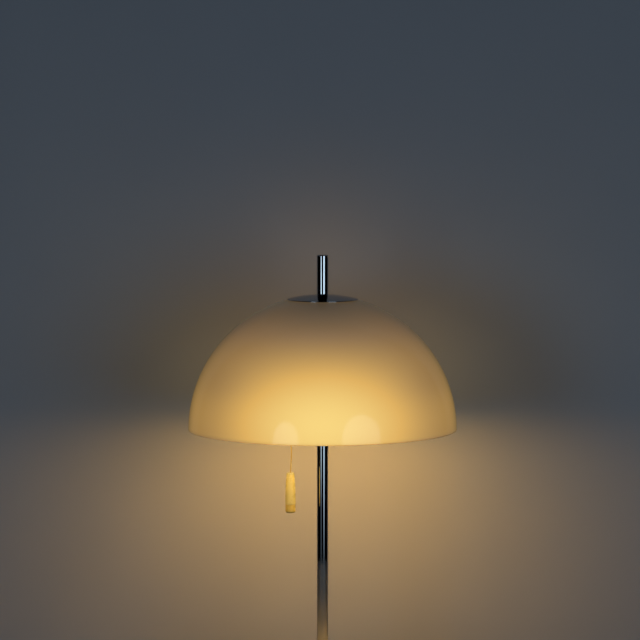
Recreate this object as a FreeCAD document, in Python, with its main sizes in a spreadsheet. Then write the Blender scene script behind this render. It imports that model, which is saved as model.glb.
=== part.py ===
"""Table lamp: an opal half-sphere shade on a chromed stem, with a pull switch under the shade.

Millimetres, +Z up. The origin is on the stem's axis at the underside of the felt pad.
The front of the lamp faces -Y, and the mains lead goes in at the back, at +Y.
"""
import FreeCAD
import Part
import Sketcher
import math
import os

# Driving sizes in millimetres, and directions in degrees round the stem from +X.
SIZES = {
    # Fits
    "thread_gap": 0.05,
    "fit_gap": 0.05,
    "seat_gap": 0.05,
    "passing_gap": 0.3,
    "running_gap": 0.08,
    "hanging_gap": 0.3,
    # Threaded tubes and their nuts
    "rod_wall": 1.5,
    "rod_engagement": 18.0,
    "nut_across": 17.0,
    "nut_thickness": 5.0,
    # Base
    "base_radius": 100.0,
    "base_height": 30.0,
    "base_dome_radius": 330.0,
    "base_edge_round": 8.0,
    "base_wall": 1.2,
    "base_lift": 1.0,
    "base_seat_radius": 16.0,
    "pad_thickness": 3.0,
    "pad_inset": 0.8,
    "weight_side_gap": 5.0,
    "weight_top_gap": 2.0,
    "weight_boss_inset": 1.0,
    "recess_radius": 20.0,
    "recess_depth": 12.0,
    "channel_width": 9.0,
    "channel_height": 9.0,
    "washer_radius": 15.0,
    "washer_thickness": 2.0,
    "inlet_height": 6.6,
    "inlet_bore_radius": 3.2,
    "bush_neck_radius": 4.0,
    "bush_tail_gap": 1.0,
    "bush_flange_radius": 5.2,
    "bush_flange_thickness": 2.0,
    "bush_chamfer": 0.6,
    # Stem
    "stem_radius": 7.0,
    "stem_wall": 1.5,
    "stem_insert_wall": 0.4,
    "stem_insert_length": 22.0,
    "collar_radius": 13.0,
    "collar_edge": 3.0,
    "collar_height": 14.0,
    "collar_lip": 1.5,
    "collar_sweep": 9.0,
    # Shade and what clamps it
    "rim_height": 320.0,
    "shade_radius": 169.5,
    "shade_wall": 3.0,
    "shade_rim_round": 1.0,
    "lower_gasket_thickness": 1.5,
    "upper_gasket_thickness": 0.8,
    "gasket_radius": 30.0,
    "carrier_radius": 34.0,
    "carrier_thickness": 2.0,
    "cap_radius": 44.4,
    "cap_thickness": 1.0,
    "cap_edge_round": 0.6,
    "finial_radius": 7.0,
    "finial_length": 49.5,
    "finial_chamfer": 0.8,
    "finial_bore_spare": 8.0,
    # Hub of the lamp cluster
    "hub_rise": 6.0,
    "hub_across": 56.0,
    "hub_height": 32.0,
    "hub_wall": 3.0,
    "lid_thickness": 3.0,
    "lid_spigot": 2.5,
    "window_width": 5.0,
    "window_height": 12.0,
    "block_length": 20.0,
    "block_depth": 10.0,
    "block_height": 9.0,
    "block_offset": 12.0,
    "block_hole_radius": 1.5,
    "block_pitch": 6.0,
    # Lampholders
    "holder_lift": 1.0,
    "nipple_inside": 9.0,
    "nipple_outside": 10.0,
    "lock_nut_across": 14.0,
    "lock_nut_thickness": 4.0,
    "holder_radius": 13.5,
    "holder_wall": 2.0,
    "holder_back_radius": 8.0,
    "holder_back_depth": 8.0,
    "holder_back_round": 9.0,
    "holder_thread_spare": 0.5,
    "holder_cap_room": 7.5,
    "holder_shell_length": 32.0,
    "holder_shell_band": 10.0,
    "holder_shell_step": 0.7,
    "insert_spigot_radius": 8.0,
    "insert_spigot_length": 5.0,
    "insert_thickness": 8.0,
    "contact_radius": 3.0,
    "contact_thickness": 1.5,
    "contact_stem_radius": 1.5,
    "contact_stem_length": 6.0,
    "sleeve_gap": 0.2,
    "sleeve_wall": 0.6,
    "sleeve_short": 0.4,
    "sleeve_flange_width": 1.75,
    "sleeve_flange_thickness": 0.8,
    # Bulbs
    "bulb_cap_radius": 6.95,
    "bulb_cap_length": 18.4,
    "bulb_tip_radius": 3.2,
    "bulb_tip_length": 1.4,
    "bulb_cone_length": 2.5,
    "bulb_glass_length": 60.0,
    "bulb_neck_radius": 9.5,
    "bulb_neck_length": 6.0,
    "ball_radius": 22.5,
    "ball_joint_radius": 15.0,
    "glass_wall": 0.8,
    # Pull switch
    "switch_rise": 1.0,
    "switch_depth": 30.0,
    "switch_width": 26.0,
    "switch_wall": 1.35,
    "switch_head_room": 5.5,
    "switch_corner": 6.0,
    "switch_floor": 3.0,
    "switch_cavity_radius": 10.0,
    "switch_lead_radius": 2.5,
    "switch_nipple_radius": 4.0,
    "switch_nipple_inside": 8.0,
    "switch_nipple_outside": 6.0,
    "switch_nut_across": 12.0,
    "switch_nut_thickness": 3.0,
    "cover_thickness": 2.0,
    "cover_spigot": 2.0,
    "neck_radius": 4.5,
    "neck_flange_radius": 7.0,
    "neck_flange_thickness": 1.5,
    "neck_drop": 5.0,
    "neck_nut_across": 13.0,
    "neck_nut_thickness": 2.5,
    "plunger_radius": 2.0,
    "plunger_head_radius": 6.0,
    "plunger_head_thickness": 3.0,
    "spring_length": 16.0,
    "spring_radius": 4.2,
    "spring_wire_radius": 0.5,
    "spring_turns": 5.0,
    "eye_radius": 3.0,
    "eye_wire_radius": 0.8,
    "eye_gap": 0.7,
    # Pull cord and handle
    "cord_radius": 0.75,
    "loop_radius": 2.6,
    "knot_radius": 2.0,
    "knot_end_radius": 1.2,
    "knot_length": 4.4,
    "knot_overlap": 0.5,
    "handle_drop": 52.0,
    "handle_body_length": 40.0,
    "handle_side_radius": 460.0,
    "handle_low_radius": 6.6,
    "handle_edge": 0.5,
    "handle_top_round": 1.2,
    "handle_web": 10.0,
    "handle_hole_radius": 1.4,
    "handle_mouth_radius": 2.0,
    "handle_mouth_depth": 4.0,
    "handle_cavity_radius": 3.3,
    "ring_depth": 0.35,
    "ring_drop": 5.0,
    "ring_pitch": 2.0,
    "foot_length": 10.7,
    "foot_radius": 6.4,
    "foot_round": 2.6,
    "foot_spigot_length": 6.0,
}

# Directions round the stem, from +X towards +Y.
FRONT_AZIMUTH = -90.0
RIGHT_AZIMUTH = 30.0
LEFT_AZIMUTH = 150.0
HOLDER_AZIMUTHS = {"front": FRONT_AZIMUTH, "right": RIGHT_AZIMUTH, "left": LEFT_AZIMUTH}
SWITCH_AZIMUTH = 210.0
INLET_AZIMUTH = 90.0
BLOCK_HOLES = 3
RING_COUNT = 2

# Route of the pull cord: millimetres sideways from the pull's axis, and share of the way down.
CORD_ROUTE = [(0.0, 0.0), (0.0, 0.06), (0.55, 0.14), (1.15, 0.23), (1.25, 0.33), (0.9, 0.48), (0.45, 0.64),
              (0.05, 0.8), (0.0, 0.9), (0.0, 1.0)]
CORD_BEND_SHARE = 0.45

LEFT = 1
RIGHT = -1

doc = FreeCAD.newDocument("TableLamp")
sheet = doc.addObject("Spreadsheet::Sheet", "Sizes")
parts = []


class Size:
    """A number that keeps the sheet formula it comes from."""

    def __init__(self, value, text):
        self.value = float(value)
        self.text = text

    @staticmethod
    def of(thing):
        """Take a plain factor as a size."""
        return thing if isinstance(thing, Size) else Size(thing, repr(thing))

    def __add__(self, other):
        other = Size.of(other)
        return Size(self.value + other.value, f"({self.text} + {other.text})")

    def __sub__(self, other):
        other = Size.of(other)
        return Size(self.value - other.value, f"({self.text} - {other.text})")

    def __mul__(self, other):
        other = Size.of(other)
        return Size(self.value * other.value, f"({self.text} * {other.text})")

    def __truediv__(self, other):
        other = Size.of(other)
        return Size(self.value / other.value, f"({self.text} / {other.text})")

    def __neg__(self):
        return Size(-self.value, f"(0 - {self.text})")


class Sheet:
    """The driving sizes, each one a named cell of the sheet."""

    def __init__(self, sizes):
        for row, (name, value) in enumerate(sizes.items(), start=1):
            sheet.set(f"A{row}", name)
            sheet.set(f"B{row}", str(value))
            sheet.setAlias(f"B{row}", name)
            setattr(self, name, Size(value, f"Sizes.{name}"))


def leg(hypotenuse, side):
    """Other side of a right-angled triangle: how high a circle stands at a given width."""
    value = math.sqrt(hypotenuse.value ** 2 - side.value ** 2)
    return Size(value, f"sqrt({hypotenuse.text} ^ 2 - {side.text} ^ 2)")


def hex_corner(across):
    """Corner radius of a hexagon, from its width across the flats."""
    return Size(across.value / math.sqrt(3.0), f"({across.text} / sqrt(3))")


def polar(reach, azimuth):
    """X and Y of a point at a distance from the stem's axis."""
    angle = math.radians(azimuth)
    x = Size(reach.value * math.cos(angle), f"({reach.text} * cos({azimuth} deg))")
    y = Size(reach.value * math.sin(angle), f"({reach.text} * sin({azimuth} deg))")
    return x, y


def bind(item, **bindings):
    """Bind properties of a document object to the sheet."""
    for name, size in bindings.items():
        item.setExpression(name, Size.of(size).text)


def seat(item, x=None, y=None, z=None, rotation=None):
    """Place an object: its turn first, then each coordinate bound to the sheet."""
    if rotation is not None:
        item.Placement = FreeCAD.Placement(FreeCAD.Vector(), rotation)
    for axis, size in (("x", x), ("y", y), ("z", z)):
        if size is not None:
            item.setExpression(f"Placement.Base.{axis}", size.text)
    return item


def upright(azimuth):
    """Turn about the stem's axis."""
    return FreeCAD.Rotation(FreeCAD.Vector(0, 0, 1), azimuth)


def outward(azimuth):
    """Turn that points a piece's own Z axis away from the stem."""
    return upright(azimuth).multiply(FreeCAD.Rotation(FreeCAD.Vector(0, 1, 0), 90.0))


def aim(item, azimuth, reach, height):
    """Point a turned piece away from the stem, its zero at a distance from the stem's axis."""
    x, y = polar(reach, azimuth)
    return seat(item, x, y, height, outward(azimuth))


def keep(item, label):
    """Give a finished piece its name and list it."""
    item.Label = label
    parts.append(item)
    return item


def arc_centre(start, end, radius, side):
    """Centre of the arc under a half circle from start to end, on the given side of its chord."""
    chord = end - start
    height = math.sqrt(max(radius ** 2 - (chord.Length / 2) ** 2, 0.0))
    normal = FreeCAD.Vector(-chord.y, chord.x, 0).normalize()
    return (start + end) * 0.5 + normal * (height * side)


def sketch_edge(sketch, start, end, bend):
    """Add one edge of an outline; return its number and which of its ends come first and last."""
    if bend is None:
        return sketch.addGeometry(Part.LineSegment(start, end)), 1, 2
    radius, side = bend
    centre = arc_centre(start, end, radius.value, side)
    first, last = (start, end) if side == LEFT else (end, start)
    low = math.atan2(first.y - centre.y, first.x - centre.x)
    high = math.atan2(last.y - centre.y, last.x - centre.x)
    circle = Part.Circle(centre, FreeCAD.Vector(0, 0, 1), radius.value)
    number = sketch.addGeometry(Part.ArcOfCircle(circle, low, high))
    return (number, 1, 2) if side == LEFT else (number, 2, 1)


def outline(body, plane, corners):
    """Closed, fully bound sketch. A corner is (x, y) or (x, y, radius, side) for an arc that ends there."""
    sketch = body.newObject("Sketcher::SketchObject", body.Name + "_outline")
    support = next(item for item in body.Origin.OriginFeatures if item.Role == plane)
    sketch.AttachmentSupport = [(support, "")]
    sketch.MapMode = "FlatFace"
    points = [FreeCAD.Vector(Size.of(corner[0]).value, Size.of(corner[1]).value, 0) for corner in corners]
    edges = []
    for index, start in enumerate(points):
        following = (index + 1) % len(points)
        bend = corners[following][2:] or None
        edges.append(sketch_edge(sketch, start, points[following], bend))
    for index, (number, first, last) in enumerate(edges):
        after, after_first, _ = edges[(index + 1) % len(edges)]
        sketch.addConstraint(Sketcher.Constraint("Coincident", number, last, after, after_first))
        for kind, size in zip(("DistanceX", "DistanceY"), corners[index]):
            bind_constraint(sketch, (kind, -1, 1, number, first), Size.of(size))
        bend = corners[(index + 1) % len(corners)][2:]
        if bend:
            bind_constraint(sketch, ("Radius", number), bend[0])
    return sketch


def bind_constraint(sketch, geometry, size):
    """Add one dimension to a sketch and bind it to the sheet."""
    number = sketch.addConstraint(Sketcher.Constraint(*geometry, size.value))
    sketch.setExpression(f"Constraints[{number}]", size.text)


def turned(name, corners):
    """Piece turned about its own Z axis from an outline of (radius, height) corners."""
    body = doc.addObject("PartDesign::Body", name)
    sketch = outline(body, "XZ_Plane", corners)
    turn = body.newObject("PartDesign::Revolution", name + "_turn")
    turn.Profile = sketch
    turn.ReferenceAxis = (sketch, ["V_Axis"])
    turn.Angle = 360.0
    body.Tip = turn
    return body


def padded(name, corners, length):
    """Prism: an outline in the ground plane, raised to a length."""
    body = doc.addObject("PartDesign::Body", name)
    pad = body.newObject("PartDesign::Pad", name + "_pad")
    pad.Profile = outline(body, "XY_Plane", corners)
    bind(pad, Length=length)
    body.Tip = pad
    return body


def rod(name, radius, length):
    """Plain round bar along its own Z axis."""
    item = doc.addObject("Part::Cylinder", name)
    bind(item, Radius=radius, Height=length)
    return item


def hexagon(name, across, length):
    """Six-sided bar with flats at 30, 90, 150 degrees and so on."""
    item = doc.addObject("Part::Prism", name)
    item.Polygon = 6
    bind(item, Circumradius=hex_corner(across), Height=length)
    return item


def block(name, length, width, height):
    """Rectangular bar from its own corner."""
    item = doc.addObject("Part::Box", name)
    bind(item, Length=length, Width=width, Height=height)
    return item


def cut(name, base, *tools):
    """Base less its tools."""
    for number, tool in enumerate(tools):
        result = doc.addObject("Part::Cut", f"{name}_cut{number}")
        result.Base = base
        result.Tool = tool
        base = result
    return base


def fuse(name, *items):
    """One solid from several."""
    result = doc.addObject("Part::MultiFuse", name + "_fuse")
    result.Shapes = list(items)
    return result


def group(name, items):
    """Identical pieces kept as separate solids in one node."""
    result = doc.addObject("Part::Compound", name)
    result.Links = items
    return result


def tube(name, inner, outer, length):
    """Plain tube along its own Z axis."""
    return turned(name, [(inner, ZERO), (outer, ZERO), (outer, length), (inner, length)])


def hex_nut(name, across, thickness, hole):
    """Hexagon nut along its own Z axis."""
    return cut(name, hexagon(name + "_hex", across, thickness), rod(name + "_hole", hole, thickness))


def bowl(label, inner, outer, hole, reach, edge_round=None):
    """Part of a hollow sphere round the stem's axis, centred in the plane of the shade's rim."""
    low_edge = (reach, leg(inner, reach))
    corners = [
        (hole, leg(inner, hole), inner, LEFT),
        (hole, leg(outer, hole)),
        (reach, leg(outer, reach), outer, RIGHT),
        low_edge if edge_round is None else (*low_edge, edge_round, RIGHT),
    ]
    return keep(seat(turned(label, corners), z=dims.rim_height), label)


dims = Sheet(SIZES)

# Places that several pieces share
ZERO = Size(0.0, "0")
stem_bore = dims.stem_radius - dims.stem_wall
rod_radius = stem_bore - dims.fit_gap - dims.stem_insert_wall - dims.thread_gap
rod_bore = rod_radius - dims.rod_wall
thread_hole = rod_radius + dims.thread_gap
passing_hole = rod_radius + dims.passing_gap
dome_centre = dims.base_height - dims.base_dome_radius
base_seat = dome_centre + leg(dims.base_dome_radius, dims.base_seat_radius)
hub_base = dims.rim_height + dims.hub_rise
hub_floor = hub_base + dims.hub_wall
hub_top = hub_base + dims.hub_height
hub_face = dims.hub_across / 2
hub_inner_across = dims.hub_across - dims.hub_wall * 2
holder_rise = dims.hub_height / 2 + dims.holder_lift
holder_axis = hub_base + holder_rise
shade_inner = dims.shade_radius - dims.shade_wall
cap_inner = dims.shade_radius + dims.seat_gap * 2 + dims.upper_gasket_thickness
cap_outer = cap_inner + dims.cap_thickness
finial_base = dims.rim_height + leg(cap_outer, passing_hole) + dims.seat_gap
switch_base = hub_base + dims.switch_rise
pull_reach = hub_face + dims.switch_depth - dims.switch_wall - dims.switch_cavity_radius
pull_x, pull_y = polar(pull_reach, SWITCH_AZIMUTH)
eye_drop = dims.eye_radius + dims.eye_wire_radius + dims.eye_gap
eye_height = switch_base - dims.neck_drop - eye_drop


def make_base():
    """Pad, weight, cover, inlet bush and the threaded tube that ties them to the stem."""
    edge = dims.base_edge_round
    inside = dims.base_radius - edge
    round_height = leg(dims.base_dome_radius - edge, inside)
    reach = dims.base_dome_radius / (dims.base_dome_radius - edge)
    inner_reach = (dims.base_dome_radius - dims.base_wall) / (dims.base_dome_radius - edge)
    inner_dome = dims.base_dome_radius - dims.base_wall
    inner_seat = base_seat - dims.base_wall
    cover = turned("cover_shell", [
        (dims.base_radius - dims.base_wall, dims.base_lift),
        (dims.base_radius, dims.base_lift),
        (dims.base_radius, dome_centre + round_height),
        (inside * reach, dome_centre + round_height * reach, edge, LEFT),
        (dims.base_seat_radius, base_seat, dims.base_dome_radius, LEFT),
        (passing_hole, base_seat),
        (passing_hole, inner_seat),
        (dims.base_seat_radius, inner_seat),
        (inside * inner_reach, dome_centre + round_height * inner_reach, inner_dome, RIGHT),
        (dims.base_radius - dims.base_wall, dome_centre + round_height, edge - dims.base_wall, RIGHT),
    ])
    inlet = rod("inlet_hole", dims.bush_neck_radius + dims.fit_gap, dims.base_radius)
    aim(inlet, INLET_AZIMUTH, dims.base_radius / 2, dims.inlet_height)
    keep(cut("base_cover", cover, inlet), "base_cover")

    weight_radius = dims.base_radius - dims.base_wall - dims.weight_side_gap
    keep(rod("base_pad", weight_radius - dims.pad_inset, dims.pad_thickness), "base_pad")

    weight_dome = inner_dome - dims.weight_top_gap
    boss_radius = dims.base_seat_radius - dims.weight_boss_inset
    recess_top = dims.pad_thickness + dims.recess_depth
    casting = turned("weight_casting", [
        (dims.recess_radius, dims.pad_thickness),
        (weight_radius, dims.pad_thickness),
        (weight_radius, dome_centre + leg(weight_dome, weight_radius)),
        (boss_radius, dome_centre + leg(weight_dome, boss_radius), weight_dome, LEFT),
        (boss_radius, inner_seat),
        (passing_hole, inner_seat),
        (passing_hole, recess_top),
        (dims.recess_radius, recess_top),
    ])
    channel = block("cable_channel", dims.channel_width, dims.base_radius, dims.channel_height)
    seat(channel, x=-dims.channel_width / 2, z=dims.pad_thickness)
    keep(cut("base_weight", casting, channel), "base_weight")

    washer_base = recess_top - dims.washer_thickness
    washer = tube("base_washer", passing_hole, dims.washer_radius, dims.washer_thickness)
    keep(seat(washer, z=washer_base), "base_washer")
    nut_base = washer_base - dims.nut_thickness
    nut = hex_nut("base_nut", dims.nut_across, dims.nut_thickness, thread_hole)
    keep(seat(nut, z=nut_base), "base_nut")
    tie_length = base_seat + dims.rod_engagement - nut_base
    tie = tube("base_rod", rod_bore, rod_radius, tie_length)
    keep(seat(tie, z=nut_base), "base_rod")

    neck = dims.base_wall + dims.weight_side_gap - dims.bush_tail_gap
    flange = neck + dims.bush_flange_thickness
    bush = turned("cord_bush", [
        (dims.inlet_bore_radius, ZERO),
        (dims.bush_neck_radius, ZERO),
        (dims.bush_neck_radius, neck),
        (dims.bush_flange_radius, neck),
        (dims.bush_flange_radius, flange - dims.bush_chamfer),
        (dims.bush_flange_radius - dims.bush_chamfer, flange),
        (dims.inlet_bore_radius, flange),
    ])
    keep(aim(bush, INLET_AZIMUTH, dims.base_radius - neck, dims.inlet_height), "cord_bush")


def make_stem():
    """Stem tube with a threaded insert in each end, and the collar round its foot."""
    stem = tube("stem_tube", stem_bore, dims.stem_radius, hub_base - base_seat)
    keep(seat(stem, z=base_seat), "stem_tube")
    length = dims.stem_insert_length
    for label, height in (("stem_lower_insert", base_seat), ("stem_upper_insert", hub_base - length)):
        insert = tube(label, thread_hole, stem_bore - dims.fit_gap, length)
        keep(seat(insert, z=height), label)
    hole = dims.stem_radius + dims.fit_gap
    collar = turned("stem_collar", [
        (hole, ZERO),
        (dims.collar_radius, ZERO),
        (dims.collar_radius, dims.collar_edge),
        (hole + dims.collar_lip, dims.collar_height, dims.collar_sweep, RIGHT),
        (hole, dims.collar_height),
    ])
    keep(seat(collar, z=base_seat), "stem_collar")


def make_head():
    """Tie tube through the head, and all that it clamps: sleeve, carrier, gaskets, shade, cap, finial."""
    tie_base = hub_base - dims.rod_engagement
    tie_length = finial_base + dims.rod_engagement - tie_base
    tie = seat(tube("tie_tube", rod_bore, rod_radius, tie_length), z=tie_base)
    window = block("wire_window", dims.window_width, rod_radius, dims.window_height)
    seat(window, x=-dims.window_width / 2, z=hub_floor + dims.nut_thickness)
    keep(cut("centre_rod", tie, window), "centre_rod")

    gasket_inner = shade_inner - dims.seat_gap - dims.lower_gasket_thickness
    carrier_outer = gasket_inner - dims.seat_gap
    carrier_inner = carrier_outer - dims.carrier_thickness
    sleeve_base = hub_top + dims.lid_thickness
    sleeve_top = dims.rim_height + leg(carrier_inner, dims.stem_radius)
    sleeve = tube("centre_sleeve", passing_hole, dims.stem_radius, sleeve_top - sleeve_base)
    keep(seat(sleeve, z=sleeve_base), "centre_sleeve")
    bowl("shade_carrier", carrier_inner, carrier_outer, passing_hole, dims.carrier_radius)
    bowl("lower_gasket", gasket_inner, shade_inner - dims.seat_gap, passing_hole, dims.gasket_radius)
    gasket_base = dims.shade_radius + dims.seat_gap
    bowl("upper_gasket", gasket_base, cap_inner - dims.seat_gap, passing_hole, dims.gasket_radius)
    bowl("cap_disc", cap_inner, cap_outer, passing_hole, dims.cap_radius, dims.cap_edge_round)

    lip = dims.shade_rim_round
    shade = turned("shade", [
        (passing_hole, leg(shade_inner, passing_hole), shade_inner, LEFT),
        (passing_hole, leg(dims.shade_radius, passing_hole)),
        (leg(dims.shade_radius, lip), lip, dims.shade_radius, RIGHT),
        (dims.shade_radius - lip, ZERO, lip, RIGHT),
        (shade_inner + lip, ZERO),
        (leg(shade_inner, lip), lip, lip, RIGHT),
    ])
    keep(seat(shade, z=dims.rim_height), "shade")

    chamfer = dims.finial_chamfer
    bore_depth = dims.rod_engagement + dims.finial_bore_spare
    finial = turned("finial", [
        (thread_hole, ZERO),
        (dims.finial_radius - chamfer, ZERO),
        (dims.finial_radius, chamfer),
        (dims.finial_radius, dims.finial_length - chamfer),
        (dims.finial_radius - chamfer, dims.finial_length),
        (ZERO, dims.finial_length),
        (ZERO, bore_depth),
        (thread_hole, bore_depth),
    ])
    keep(seat(finial, z=finial_base), "finial")


def make_hub():
    """Six-sided hub on top of the stem, with its lid, its nut and the wire connector inside."""
    shell = hexagon("hub_shell", dims.hub_across, dims.hub_height)
    hollow = seat(hexagon("hub_hollow", hub_inner_across, dims.hub_height), z=dims.hub_wall)
    tools = [hollow, rod("hub_centre_hole", passing_hole, dims.hub_height)]
    bores = [(azimuth, thread_hole) for azimuth in HOLDER_AZIMUTHS.values()]
    bores.append((SWITCH_AZIMUTH, dims.switch_nipple_radius + dims.fit_gap))
    for number, (azimuth, radius) in enumerate(bores):
        bore = rod(f"hub_side_hole{number}", radius, dims.hub_across)
        tools.append(aim(bore, azimuth, ZERO, holder_rise))
    body = cut("hub_body", shell, *tools)
    keep(seat(body, z=hub_base), "hub_body")

    plate = seat(hexagon("lid_plate", dims.hub_across, dims.lid_thickness), z=dims.lid_spigot)
    spigot = hexagon("lid_spigot", hub_inner_across - dims.fit_gap * 2, dims.lid_spigot)
    hole = rod("lid_hole", passing_hole, dims.lid_spigot + dims.lid_thickness)
    lid = cut("hub_lid", fuse("hub_lid", plate, spigot), hole)
    keep(seat(lid, z=hub_top - dims.lid_spigot), "hub_lid")

    nut = hex_nut("hub_nut", dims.nut_across, dims.nut_thickness, thread_hole)
    keep(seat(nut, z=hub_floor), "hub_nut")

    bar = block("block_bar", dims.block_length, dims.block_depth, dims.block_height)
    tools = []
    for number in range(BLOCK_HOLES):
        tunnel = rod(f"block_hole{number}", dims.block_hole_radius, dims.block_depth)
        shift = dims.block_pitch * (number - (BLOCK_HOLES - 1) / 2)
        seat(tunnel, x=dims.block_length / 2 + shift, z=dims.block_height / 2,
             rotation=FreeCAD.Rotation(FreeCAD.Vector(1, 0, 0), -90.0))
        tools.append(tunnel)
    connector = cut("terminal_block", bar, *tools)
    keep(seat(connector, x=-dims.block_length / 2, y=dims.block_offset, z=hub_floor), "terminal_block")


def make_lampholders():
    """Three lampholders with their bulbs, pointing straight out from the hub."""
    nipples = []
    lock_nuts = []
    contacts = []
    for side, azimuth in HOLDER_AZIMUTHS.items():
        nipple_length = dims.nipple_inside + dims.nipple_outside
        nipple = tube(f"nipple_{side}", rod_bore, rod_radius, nipple_length)
        nipples.append(aim(nipple, azimuth, hub_face - dims.nipple_inside, holder_axis))
        nut = hex_nut(f"lock_nut_{side}", dims.lock_nut_across, dims.lock_nut_thickness, thread_hole)
        lock_nuts.append(aim(nut, azimuth, hub_face - dims.hub_wall - dims.lock_nut_thickness, holder_axis))
        for name, corners in holder_outlines().items():
            piece = aim(turned(f"{name}_{side}", corners), azimuth, hub_face, holder_axis)
            if name == "holder_contact":
                contacts.append(piece)
            else:
                keep(piece, f"{name}_{side}")
    keep(group("holder_nipples", nipples), "holder_nipples")
    keep(group("holder_lock_nuts", lock_nuts), "holder_lock_nuts")
    keep(group("holder_contacts", contacts), "holder_contacts")


def holder_outlines():
    """Outlines of a lampholder's turned pieces and its bulb, with heights from the hub's face."""
    radius = dims.holder_radius
    inner = radius - dims.holder_wall
    thread_depth = dims.nipple_outside + dims.holder_thread_spare
    joint = thread_depth + dims.holder_cap_room
    mouth = joint + dims.holder_shell_length
    band = joint + dims.holder_shell_band
    slim = radius - dims.holder_shell_step
    insert_radius = inner - dims.fit_gap
    insert_front = joint + dims.fit_gap + dims.insert_thickness
    contact_front = insert_front + dims.contact_thickness
    sleeve_inner = dims.bulb_cap_radius + dims.sleeve_gap
    sleeve_radius = sleeve_inner + dims.sleeve_wall
    sleeve_flange = sleeve_radius + dims.sleeve_flange_width
    sleeve_end = insert_front + dims.bulb_cap_length - dims.sleeve_short
    sleeve_step = insert_front + dims.sleeve_flange_thickness
    tip = contact_front + dims.fit_gap
    cone = tip + dims.bulb_tip_length
    thread = cone + dims.bulb_cone_length
    glass_base = tip + dims.bulb_cap_length
    bulb_end = glass_base + dims.bulb_glass_length
    ball_centre = bulb_end - dims.ball_radius
    ball_inner = dims.ball_radius - dims.glass_wall
    shrink = ball_inner / dims.ball_radius
    joint_height = leg(dims.ball_radius, dims.ball_joint_radius)
    neck_height = glass_base + dims.bulb_neck_length
    return {
        "holder_cap": [
            (thread_hole, ZERO),
            (dims.holder_back_radius, ZERO),
            (radius, dims.holder_back_depth, dims.holder_back_round, LEFT),
            (radius, joint),
            (inner, joint),
            (inner, thread_depth),
            (thread_hole, thread_depth),
        ],
        "holder_shell": [
            (inner, joint),
            (radius, joint),
            (radius, band),
            (slim, band + dims.holder_shell_step),
            (slim, mouth),
            (inner, mouth),
        ],
        "holder_insert": [
            (dims.contact_stem_radius + dims.fit_gap, joint - dims.insert_spigot_length),
            (dims.insert_spigot_radius, joint - dims.insert_spigot_length),
            (dims.insert_spigot_radius, joint + dims.fit_gap),
            (insert_radius, joint + dims.fit_gap),
            (insert_radius, insert_front),
            (dims.contact_stem_radius + dims.fit_gap, insert_front),
        ],
        "holder_contact": [
            (ZERO, insert_front - dims.contact_stem_length),
            (dims.contact_stem_radius, insert_front - dims.contact_stem_length),
            (dims.contact_stem_radius, insert_front),
            (dims.contact_radius, insert_front),
            (dims.contact_radius, contact_front),
            (ZERO, contact_front),
        ],
        "holder_sleeve": [
            (sleeve_inner, insert_front),
            (sleeve_flange, insert_front),
            (sleeve_flange, sleeve_step),
            (sleeve_radius, sleeve_step),
            (sleeve_radius, sleeve_end),
            (sleeve_inner, sleeve_end),
        ],
        "bulb_cap": [
            (ZERO, tip),
            (dims.bulb_tip_radius, tip),
            (dims.bulb_tip_radius, cone),
            (dims.bulb_cap_radius, thread),
            (dims.bulb_cap_radius, glass_base),
            (ZERO, glass_base),
        ],
        "bulb_glass": [
            (dims.bulb_cap_radius - dims.glass_wall, glass_base),
            (dims.bulb_cap_radius, glass_base),
            (dims.bulb_neck_radius, neck_height),
            (dims.ball_joint_radius, ball_centre - joint_height),
            (ZERO, bulb_end, dims.ball_radius, LEFT),
            (ZERO, bulb_end - dims.glass_wall),
            (dims.ball_joint_radius * shrink, ball_centre - joint_height * shrink, ball_inner, RIGHT),
            (dims.bulb_neck_radius - dims.glass_wall, neck_height),
        ],
    }


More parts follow.
